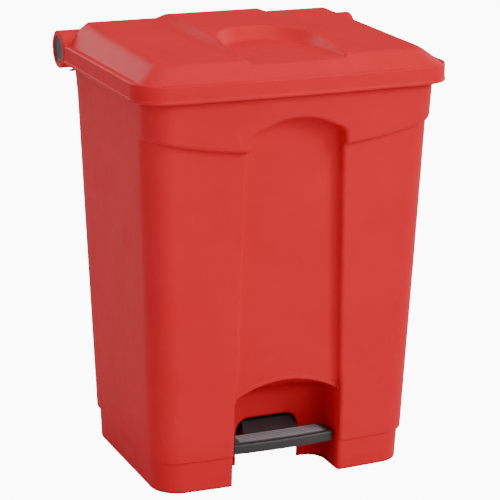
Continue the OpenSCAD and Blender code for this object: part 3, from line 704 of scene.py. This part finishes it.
def lid_edge_grid(inner, counts):
    """The ring round the flat top: rounded brow, bevel, crease, rim, rounded edge, skirt and its bead.
    A row is the lid's outline, set in by so much and at such a height."""
    rim = lid_ring(LID_HALF_W - SIDE_RIM_W, LID_FRONT - FRONT_RIM_W, LID_CORNER_R - SIDE_RIM_W,
                   barrel_front(SKIRT_TOP_Z), counts)
    flat = inner[:, :2]
    toward = rim - flat
    to_side = soft_step(np.abs(toward[:, 0]) / np.linalg.norm(toward, axis=1), 0.3, 0.95)[:, None]
    brow = flat + toward * BROW_SHARE[0] / (1 + BROW_SHARE[0]) * (1 + to_side * BROW_SHARE[1])
    over = brow + (rim - brow) * (0.10 + 0.28 * to_side)
    flat_z, brow_z, rim_z = inner[:, 2:], flat_top(brow[:, 1:]), SKIRT_TOP_Z - 0.3
    over_z = brow_z + (rim_z - brow_z) * (0.10 + 0.28 * to_side)
    rows = [inner]
    for f in np.linspace(0, 1, 9)[1:]:
        rows.append(np.column_stack([bent(flat, brow, over, f), bent(flat_z, brow_z, over_z, f)]))
    for f in np.linspace(0, 1, 15)[1:]:
        rows.append(np.column_stack([over + (rim - over) * f, over_z + (rim_z - over_z) * f]))
    bevel_rows = len(rows)
    for inset, z in zip(*skirt_section()):
        outline = lid_ring(LID_HALF_W - inset, LID_FRONT - inset, LID_CORNER_R - inset,
                           barrel_front(z), counts)
        rows.append(np.column_stack([outline, np.full(len(outline), z)]))
    points = np.stack(rows)
    bevel = points[:bevel_rows]
    shaped = features(bevel[..., 0], bevel[..., 1], bevel[..., 2])
    bevel[..., 2] = np.where(bevel[..., 1] < -100, np.minimum(shaped, bevel[..., 2]), bevel[..., 2])
    points[0] = inner
    return points


def lid_shell_sheet():
    """The lid's outer skin: the top grid and the ring round it."""
    top, corner = lid_top_grid()
    inner = np.concatenate([top[:, -1], top[-1, -2::-1]])
    ring = lid_edge_grid(inner, (len(top) - corner, corner, top.shape[1] - 1))
    return joined([flipped(sheet(top)), sheet(ring)])


def hood_sheet():
    """The barrel between its end tubes: part of a tube over the trough, notched over lugs and push rod."""
    breaks = [0, CHANNEL_HALF_W, *LUG_NOTCH_X, TUBE_X]
    x = np.concatenate([np.linspace(a, b, 14)[:-1] for a, b in zip(breaks, breaks[1:])] + [[TUBE_X]])
    low, notch, high = HOOD_ANGLES
    angle = np.concatenate([np.linspace(low, notch, 22)[:-1], np.linspace(notch, high, 24)])
    a = np.radians(angle)[:, None]
    points = xyz(x[None, :], HINGE_Y + BARREL_R * np.cos(a), HINGE_Z + BARREL_R * np.sin(a))
    middle = (x[:-1] + x[1:]) / 2
    notched = (middle < CHANNEL_HALF_W) | ((middle > LUG_NOTCH_X[0]) & (middle < LUG_NOTCH_X[1]))
    cut = notched[None, :] & (angle[:-1] < notch - 0.1)[:, None]
    return flipped(sheet(points, ~cut))


def end_tube():
    """A closed end of the barrel, with a rounded end ring round its opening."""
    r, x1 = 1.6, LID_HALF_W
    a = turn(0, 90, 6)
    inner = BARREL_R - LID_WALL
    x = np.concatenate([
        [TUBE_X, TUBE_X], np.linspace(TUBE_X + 1, x1 - r - 1, 12), x1 - r + r * np.sin(a),
        x1 - r + r * np.cos(a), [x1 - 4, x1 - 4, TUBE_X],
    ])
    radius = np.concatenate([
        [inner, BARREL_R], np.full(12, BARREL_R), BARREL_R - r + r * np.cos(a),
        BARREL_HOLE_R + r - r * np.sin(a), [BARREL_HOLE_R, inner, inner],
    ])
    return flipped(revolved(x, radius))


def web():
    """The disc in an end tube that holds the bush."""
    (x0, x1), bore, rim = WEB_X, 7.02, BARREL_R - LID_WALL + 0.3
    return flipped(revolved(np.array([x0, x0, x1, x1, x0]), np.array([bore, rim, rim, bore, bore])))


def cam_boss():
    """The block under the lid's top that the cam is screwed to, with rounded upright edges."""
    x, y0, y1 = 22.0, CHANNEL_Y + 3, HINGE_Y - 16
    r = 3.0
    a = turn(0, 90, 5)
    edge_x = np.concatenate([r - x - r * np.cos(a), x - r + r * np.sin(a)])
    corner = np.concatenate([r - r * np.sin(a), r - r * np.cos(a)])
    y = (y0 + corner)[:, None] + (y1 - y0 - 2 * corner)[:, None] * np.linspace(0, 1, 8)[None, :]
    top = xyz(edge_x[:, None], y, BAND_Z - 2 + 0 * y)
    return slab(top, xyz(edge_x[:, None], y, CAM_SEAT_Z))


def lid_pieces(red):
    ends = joined([both_sides(end_tube()), both_sides(web()), cam_boss()])
    for name, part, wall in (
        ("lid_shell_top", both_sides(lid_shell_sheet()), LID_WALL),
        ("lid_shell_hood", both_sides(hood_sheet()), LID_WALL), ("lid_shell_barrel_ends", ends, None),
    ):
        make_piece(name, part, red, "lid", ["lid_shell"], wall=wall)


def hinge_caps(black):
    """A cap pressed into the barrel's end: a disc with a rounded edge, a shallow ring and a flat middle."""
    low, high = box_mm("hinge_cap_right")
    r, x1 = high[1] - HINGE_Y, high[0]
    a = turn(0, 90, 6)
    edge = 1.2
    x = np.concatenate([
        [low[0], low[0]], [x1 - 5], x1 - edge + edge * np.sin(a),
        [x1, x1 - 0.3, x1 - 0.8, x1 - 0.9, x1 - 0.9],
    ])
    radius = np.concatenate([
        [r - 2.4, r], [r], r - edge + edge * np.cos(a), [r - 3.4, r - 4, r - 4.8, r - 6, 0],
    ])
    cap = flipped(revolved(x, radius))
    make_piece("hinge_cap_right_disc", cap, black, "lid", ["hinge_cap_right"])
    left = (cap[0] * [-1, 1, 1], cap[1][:, ::-1])
    make_piece("hinge_cap_left_disc", left, black, "lid", ["hinge_cap_left"])


# ---- Pedal ----

PEDAL_HALF_W = 85.0
PEDAL_FRONT = 146.0
PEDAL_REAR = 105.0
PEDAL_R = 14.0
PEDAL_Z = (47.0, 63.0)
TREAD_INSET = 7.0
RIB_Y = -135.5                   # middle of the tread's front rib
RIB_PITCH = 5.2


def pedal_outline(inset):
    """The pedal's plan, set in: a bulging front side, small front corners and round rear corners."""
    half, r = PEDAL_HALF_W - inset, PEDAL_R - inset
    small = max(4.0 - inset * 0.4, 1.0)
    a = turn(0, 90, 12)
    b = turn(0, 90, 6)
    rear = -PEDAL_REAR - inset
    side_y = np.linspace(0, 1, 8)[1:-1]
    front_x = np.linspace(small - half, half - small, 26)[1:-1]
    front = -PEDAL_FRONT + inset
    y_low = front + small
    y_high = rear - max(r, 1)
    r = max(r, 1)
    x = np.concatenate([
        half - r + r * np.cos(a), -(half - r) - r * np.sin(a), -half + 0 * side_y,
        small - half - small * np.cos(b), front_x, half - small + small * np.sin(b), half + 0 * side_y,
    ])
    y = np.concatenate([
        rear - r + r * np.sin(a), rear - r + r * np.cos(a), y_high + (y_low - y_high) * side_y,
        y_low - small * np.sin(b), front + 0 * front_x, y_low - small * np.cos(b),
        y_low + (y_high - y_low) * side_y,
    ])
    bulge = 4 * (1 - (x / PEDAL_HALF_W) ** 2) * soft_step(y, -PEDAL_REAR - 20, -PEDAL_FRONT + 6)
    return np.column_stack([np.append(x, x[0]), np.append(y - bulge, (y - bulge)[0])])


def stacked(rows, middle_y):
    """Outlines of the pedal set in by so much, one above the other, closed on a line at each end."""
    rings = [np.insert(pedal_outline(inset), 2, z, axis=1) for inset, z in rows]
    first, last = (ring * [0.8, 0, 1] + [0, middle_y, 0] for ring in (rings[0], rings[-1]))
    return np.stack([first, *rings, last])


def pedal_pieces(black, rubber):
    """The pedal: rounded edges, a thin raised border and a recess for the tread, hollow underneath.
    The tread: a mat with long rounded ribs."""
    low, high = PEDAL_Z
    t = turn(0, 90, 7)
    r = 3.2
    rows = [(14.0, low + 6), (4.0, low + 6), (3.2, low + 5.2), (3.0, low + 1), (2.2, low + 0.2), (1.2, low)]
    rows += [(1.2 - 1.2 * np.sin(f), low + 1.2 - 1.2 * np.cos(f)) for f in t[1:]]
    rows += [(0.0, z) for z in np.linspace(low + 2, high - r, 6)]
    rows += [(r - r * np.cos(f), high - r + r * np.sin(f)) for f in t[1:]]
    rows += [(TREAD_INSET - 1.4, high), (TREAD_INSET - 0.8, high - 0.2), (TREAD_INSET - 0.4, high - 0.8)]
    rows += [(TREAD_INSET - 0.2, high - 2), (14.0, high - 2)]
    points = stacked(rows, -(PEDAL_REAR + PEDAL_FRONT) / 2)
    make_piece("pedal_body", sheet(points), black, "pedal_lever", ["pedal"])

    inset = TREAD_INSET
    half, r = PEDAL_HALF_W - inset, PEDAL_R - inset
    rear, front = -PEDAL_REAR - inset, -PEDAL_FRONT + inset
    across = np.sin(np.linspace(-np.pi / 2, np.pi / 2, 90)) * 0.35 + np.linspace(-1, 1, 90) * 0.65
    y = np.concatenate([np.linspace(front, rear - r, 110)[:-1], rear - r + r * np.sin(turn(0, 90, 22))])
    edge = np.full(len(y), half)
    edge[-22:] = half - r + r * np.cos(turn(0, 90, 22))
    x = edge[:, None] * across[None, :]
    bulge = 4 * (1 - (x / PEDAL_HALF_W) ** 2)
    y = y[:, None] - bulge * soft_step(y[:, None], rear, front)
    from_end = edge[:, None] - np.abs(x)
    from_edge = np.minimum(np.minimum(from_end, rear - y), y + bulge - front)
    along = y + bulge * soft_step(y, rear, front)
    wave = np.abs(((along - RIB_Y) / RIB_PITCH + 0.5) % 1 - 0.5) * RIB_PITCH
    one_of_five = (along > RIB_Y - RIB_PITCH / 2) & (along < RIB_Y + 4.5 * RIB_PITCH)
    rib = 2.0 * soft_step(wave, 1.8, 0.7) * soft_step(from_end, 5.0, 8.0) * one_of_five
    brim = -1.2 * (1 - np.sqrt(np.clip(from_edge / 1.6, 0, 1)))
    top = xyz(x, y, high + rib + brim - 0.1)
    mat = slab(top.transpose(1, 0, 2), xyz(x, y, high - 2).transpose(1, 0, 2))
    make_piece("pedal_tread_mat", mat, rubber, "pedal_lever",
               ["pedal_tread"], sharp=60)


# ---- Materials ----


def node(tree, kind, inputs=None, **settings):
    """A new node with its settings, and its inputs either set to values or linked to sockets."""
    made = tree.nodes.new(kind)
    for key, value in settings.items():
        setattr(made, key, value)
    for key, value in (inputs or {}).items():
        if isinstance(value, bpy.types.NodeSocket):
            tree.links.new(value, made.inputs[key])
        else:
            made.inputs[key].default_value = value
    return made


def maths(tree, operation, *values, clamp=False):
    """The result of one sum."""
    made = node(tree, "ShaderNodeMath", dict(enumerate(values)), operation=operation, use_clamp=clamp)
    return made.outputs[0]


def object_place(tree):
    return node(tree, "ShaderNodeTexCoord").outputs["Object"]


def noise(tree, place, scale, detail, roughness=0.5):
    made = node(tree, "ShaderNodeTexNoise", {"Vector": place, "Scale": scale, "Detail": detail,
                                             "Roughness": roughness})
    return made.outputs["Fac"]


def ranged(tree, value, low, high, low_in=0.0, high_in=1.0):
    """A value carried from one range to another."""
    made = node(tree, "ShaderNodeMapRange", {"Value": value, "From Min": low_in, "From Max": high_in,
                                             "To Min": low, "To Max": high})
    return made.outputs["Result"]


def mixed(tree, share, first, second):
    """A colour that goes from first to second as share goes from 0 to 1."""
    made = node(tree, "ShaderNodeMix", {"Factor": share}, data_type="RGBA")
    for index, value in ((6, first), (7, second)):
        if isinstance(value, bpy.types.NodeSocket):
            tree.links.new(value, made.inputs[index])
        else:
            made.inputs[index].default_value = (*value, 1.0)
    return made.outputs[2]


def group(name, inputs, outputs):
    """An empty shader group with named float inputs, given with their defaults, and float outputs."""
    tree = bpy.data.node_groups.new(name, "ShaderNodeTree")
    for label, default in inputs.items():
        socket = tree.interface.new_socket(label, in_out="INPUT", socket_type="NodeSocketFloat")
        socket.default_value = default
    for label in outputs:
        tree.interface.new_socket(label, in_out="OUTPUT", socket_type="NodeSocketFloat")
    return tree, tree.nodes.new("NodeGroupInput").outputs, tree.nodes.new("NodeGroupOutput").inputs


def placed(tree, kind, **values):
    """A shader group placed in a material, with its own values. Returns its outputs."""
    made = tree.nodes.new("ShaderNodeGroup")
    made.node_tree = kind
    for key, value in values.items():
        made.inputs[key.replace("_", " ")].default_value = value
    return made.outputs


def moulded_grain():
    """The skin of a moulded plastic: fine pebbled grain, slow swells and cloudy tone, all by place."""
    tree, given, result = group(
        "moulded_grain", {"Grain Size": 1.2, "Swell": 0.3}, ["Height", "Tone", "Gloss"]
    )
    place = object_place(tree)
    pebbles = node(tree, "ShaderNodeTexVoronoi", {
        "Vector": place, "Scale": maths(tree, "DIVIDE", 1000.0, given["Grain Size"]), "Randomness": 0.9,
    }, feature="SMOOTH_F1")
    fine = maths(tree, "MULTIPLY_ADD", noise(tree, place, 2600.0, 2.0), 0.35, pebbles.outputs["Distance"])
    height = maths(tree, "MULTIPLY_ADD", noise(tree, place, 24.0, 1.5), given["Swell"], fine)
    tree.links.new(height, result["Height"])
    tree.links.new(noise(tree, place, 7.0, 4.0, 0.6), result["Tone"])
    tree.links.new(noise(tree, place, 60.0, 5.0), result["Gloss"])
    return tree


def edge_wear():
    """A mask that is high on sharp convex edges, broken up by noise."""
    tree, given, result = group("edge_wear", {"Sharpness": 0.53, "Amount": 1.0}, ["Wear"])
    bend = node(tree, "ShaderNodeNewGeometry").outputs["Pointiness"]
    past = maths(tree, "SUBTRACT", bend, given["Sharpness"])
    strong = maths(tree, "MULTIPLY", past, 14.0, clamp=True)
    broken = maths(tree, "MULTIPLY", strong, noise(tree, object_place(tree), 90.0, 5.0))
    tree.links.new(maths(tree, "MULTIPLY", broken, given["Amount"], clamp=True), result["Wear"])
    return tree


def scuffs():
    """Short fine scratches that run every way, as a mask: thin bands of stretched noise."""
    tree, given, result = group("scuffs", {"Density": 0.6}, ["Scratch"])
    place = object_place(tree)
    lines = 0.0
    ways = ((0.4, (420.0, 30.0, 90.0)), (1.3, (60.0, 460.0, 36.0)), (2.2, (34.0, 80.0, 520.0)))
    for turned, stretch in ways:
        spin = node(tree, "ShaderNodeMapping", {"Vector": place, "Rotation": (turned, turned * 0.7, turned),
                                                "Scale": stretch})
        line = ranged(tree, noise(tree, spin.outputs[0], 1.0, 1.0), 0.0, 1.0, 0.70, 0.78)
        lines = maths(tree, "MAXIMUM", line, lines)
    tree.links.new(maths(tree, "MULTIPLY", lines, given["Density"], clamp=True), result["Scratch"])
    return tree


def new_material(name):
    material = bpy.data.materials.new(name)
    material.use_nodes = True
    return material, material.node_tree, material.node_tree.nodes["Principled BSDF"]


def skinned(name, groups, grain, swell, deep, pale, roughness):
    """A new material with a moulded skin. Returns it, its tree and shader, the skin's outputs, a cloudy
    colour between deep and pale, and a gloss between two roughnesses."""
    material, tree, shader = new_material(name)
    skin = placed(tree, groups["grain"], Grain_Size=grain, Swell=swell)
    tone = ranged(tree, skin["Tone"], 0.0, 1.0, 0.3, 0.7)
    gloss = ranged(tree, skin["Gloss"], *roughness, 0.3, 0.7)
    return material, tree, shader, skin, mixed(tree, tone, deep, pale), gloss


def surfaced(tree, shader, colour, roughness, height, strength, distance):
    """Gives a shader its colour and roughness, and a height that tilts its normal."""
    bump = node(tree, "ShaderNodeBump", {"Height": height, "Strength": strength, "Distance": distance})
    tree.links.new(colour, shader.inputs["Base Color"])
    tree.links.new(roughness, shader.inputs["Roughness"])
    tree.links.new(bump.outputs["Normal"], shader.inputs["Normal"])


def moulded_plastic(name, groups, deep, pale, worn, roughness, grain, grain_depth, wear):
    """Moulded plastic: cloudy tone between two near colours, fine grain, paler worn edges, light scuffs."""
    material, tree, shader, skin, colour, gloss = skinned(name, groups, grain, 0.5, deep, pale, roughness)
    scratch = placed(tree, groups["scuffs"], Density=0.5)["Scratch"]
    if wear:
        edges = placed(tree, groups["wear"], Sharpness=0.54, Amount=wear)
        colour = mixed(tree, edges["Wear"], colour, worn)
    colour = mixed(tree, ranged(tree, scratch, 0.0, 0.35), colour, worn)
    rough = maths(tree, "MULTIPLY_ADD", scratch, 0.16, gloss)
    surfaced(tree, shader, colour, rough, skin["Height"], 0.35, grain_depth)
    return material


def red_polyethylene(groups):
    material = moulded_plastic(
        "red_polyethylene", groups, (0.60, 0.014, 0.022), (0.64, 0.017, 0.026), (0.70, 0.050, 0.050),
        (0.42, 0.48), 0.9, 0.00006, 0.5,
    )
    material.node_tree.nodes["Principled BSDF"].inputs["Specular IOR Level"].default_value = 0.05
    return material


def black_polypropylene(groups, wear):
    return moulded_plastic(
        "black_polypropylene" if wear else "black_polypropylene_small", groups,
        (0.020, 0.018, 0.020), (0.032, 0.029, 0.031), (0.10, 0.095, 0.10), (0.42, 0.56), 0.7, 0.0001, wear,
    )


def tread_rubber(groups):
    """Grey rubber with coarse pebbling, with a painted highlight: its ribs' tops are painted pale."""
    material, tree, shader, skin, colour, gloss = skinned(
        "tread_rubber", groups, 0.6, 0.2, (0.050, 0.047, 0.052), (0.075, 0.070, 0.077), (0.58, 0.78)
    )
    edges = placed(tree, groups["wear"], Sharpness=0.51, Amount=0.9)
    place = node(tree, "ShaderNodeSeparateXYZ", {0: object_place(tree)})
    # Painted highlight: the ribs' tops, picked out by their height, are painted pale.
    painted_rib_highlight = ranged(tree, place.outputs["Z"], 0.0, 1.0, (PEDAL_Z[1] + 0.4) * MM, (PEDAL_Z[1] + 1.8) * MM)
    colour = mixed(tree, painted_rib_highlight, colour, (0.24, 0.225, 0.24))
    colour = mixed(tree, edges["Wear"], colour, (0.28, 0.27, 0.28))
    surfaced(tree, shader, colour, gloss, skin["Height"], 0.5, 0.00015)
    return material


def zinc_steel(groups):
    """Bright zinc-plated steel: fine scratches and patchy plating."""
    material, tree, shader, _, colour, gloss = skinned(
        "zinc_steel", groups, 2.5, 0.8, (0.50, 0.50, 0.50), (0.66, 0.66, 0.64), (0.24, 0.42)
    )
    scratch = placed(tree, groups["scuffs"], Density=0.9)["Scratch"]
    colour = mixed(tree, scratch, colour, (0.80, 0.80, 0.80))
    surfaced(tree, shader, colour, gloss, scratch, 0.2, 0.00005)
    shader.inputs["Metallic"].default_value = 1.0
    return material


def natural_nylon(groups):
    """Off-white nylon, slightly waxy."""
    material, tree, shader, skin, colour, gloss = skinned(
        "natural_nylon", groups, 0.8, 0.3, (0.70, 0.67, 0.58), (0.78, 0.76, 0.68), (0.34, 0.50)
    )
    surfaced(tree, shader, colour, gloss, skin["Height"], 0.25, 0.00008)
    return material


def made_of(name):
    """What a carried-over node is made of, by its name."""
    if "bushes" in name:
        return "nylon"
    if "screws" in name or "clips" in name or name in ("pedal_axle", "hinge_rod", "push_rod"):
        return "steel"
    return "black"


def finish_cad_nodes(finishes):
    """Gives each carried-over CAD node the finish of what it is made of."""
    for name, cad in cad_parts.items():
        if cad.hide_render:
            continue
        cad.data.materials.clear()
        cad.data.materials.append(finishes[made_of(name)])


# ---- Studio ----


def pale_to_the_eye(tree, plain, bright):
    """How bright floor and sky look: bright where they are seen directly, plain for the light they give."""
    path = node(tree, "ShaderNodeLightPath")
    return ranged(tree, path.outputs["Is Camera Ray"], plain, bright)


SHADE = (30.0, 142.0, 196.7)     # the shade under the bin: its front and rear ends, and half its width


def in_the_open(tree):
    """One on the floor round the bin and under its front half, none in the shade under its rear half."""
    front, rear, half = np.array(SHADE) * MM
    axes = node(tree, "ShaderNodeSeparateXYZ", {0: object_place(tree)}).outputs
    along = maths(tree, "ABSOLUTE", maths(tree, "ADD", axes["Y"], -(rear + front) / 2))
    past_side = maths(tree, "GREATER_THAN", maths(tree, "ABSOLUTE", axes["X"]), half)
    past_end = maths(tree, "GREATER_THAN", along, (rear - front) / 2)
    return maths(tree, "MAXIMUM", past_side, past_end)


def studio():
    """A pale floor, an even pale sky, and soft lights, the strongest from the front right and above."""
    half = 30.0
    mesh = bpy.data.meshes.new("studio_floor")
    mesh.from_pydata(
        [(-half, -half, 0), (half, -half, 0), (half, half, 0), (-half, half, 0)], [], [(0, 1, 2, 3)]
    )
    floor = in_scene("studio_floor", mesh)
    material, tree, shader = new_material("studio_floor")
    shader.inputs["Base Color"].default_value = (0.70, 0.70, 0.70, 1)
    shader.inputs["Roughness"].default_value = 0.9
    shader.inputs["Specular IOR Level"].default_value = 0.1
    shader.inputs["Emission Color"].default_value = (1, 1, 1, 1)
    glow = maths(tree, "MULTIPLY", pale_to_the_eye(tree, 0.0, 10.0), in_the_open(tree))
    tree.links.new(glow, shader.inputs["Emission Strength"])
    mesh.materials.append(material)

    world = bpy.data.worlds.new("studio_sky")
    bpy.context.scene.world = world
    world.use_nodes = True
    sky = world.node_tree.nodes["Background"]
    sky.inputs["Color"].default_value = (1.0, 1.0, 1.0, 1)
    world.node_tree.links.new(pale_to_the_eye(world.node_tree, 0.13, 12.0), sky.inputs["Strength"])
    for name, place, size, power in LAMPS:
        light = bpy.data.lights.new(name, "AREA")
        light.shape = "DISK"
        light.size = size
        light.energy = power
        to_bin = np.array([0, 0, 0.35]) - np.array(place)
        in_scene(name, light).matrix_world = Matrix.Translation(place) @ track(to_bin)


def track(direction):
    """The rotation that turns a lamp's or camera's -Z along a direction, with its Y up."""
    back = -direction / np.linalg.norm(direction)
    right = np.cross([0, 0, 1], back)
    right /= np.linalg.norm(right)
    up = np.cross(back, right)
    return Matrix([[right[i], up[i], back[i], 0] for i in range(3)] + [[0, 0, 0, 1]])


def camera():
    """A long lens in front, a little to the left and above, rolled by half a degree."""
    data = bpy.data.cameras.new("camera")
    data.sensor_width = 36.0
    data.lens = 144.95
    data.clip_end = 100.0
    made = in_scene("camera", data)
    aim = track(CAMERA_FORWARD) @ Matrix.Rotation(np.radians(CAMERA_ROLL), 4, "Z")
    made.matrix_world = Matrix.Translation(CAMERA_PLACE) @ aim
    bpy.context.scene.camera = made


CAMERA_PLACE = (-1.19984, -2.80176, 1.22293)
CAMERA_FORWARD = np.array([0.378488, 0.881600, -0.282008])
CAMERA_ROLL = 0.5
# Each lamp's name, place, size and power.
LAMPS = (
    ("key", (2.4, -3.0, 2.6), 1.8, 120.0),
    ("front_fill", (0.6, -3.9, 1.5), 2.4, 62.0),
    ("left_fill", (-3.4, -0.8, 1.6), 2.4, 36.0),
    ("top", (0.0, -0.2, 3.0), 2.4, 46.0),
    ("rear_fill", (-1.4, 3.4, 1.9), 2.4, 70.0),
    ("right_fill", (3.4, 1.2, 1.4), 2.4, 45.0),
)

groups = {"grain": moulded_grain(), "wear": edge_wear(), "scuffs": scuffs()}
red = red_polyethylene(groups)
black = black_polypropylene(groups, 0.6)
rubber = tread_rubber(groups)
body_pieces(red)
lid_pieces(red)
hinge_caps(black)
pedal_pieces(black, rubber)
finish_cad_nodes({
    "black": black_polypropylene(groups, 0), "steel": zinc_steel(groups), "nylon": natural_nylon(groups),
})
studio()
camera()
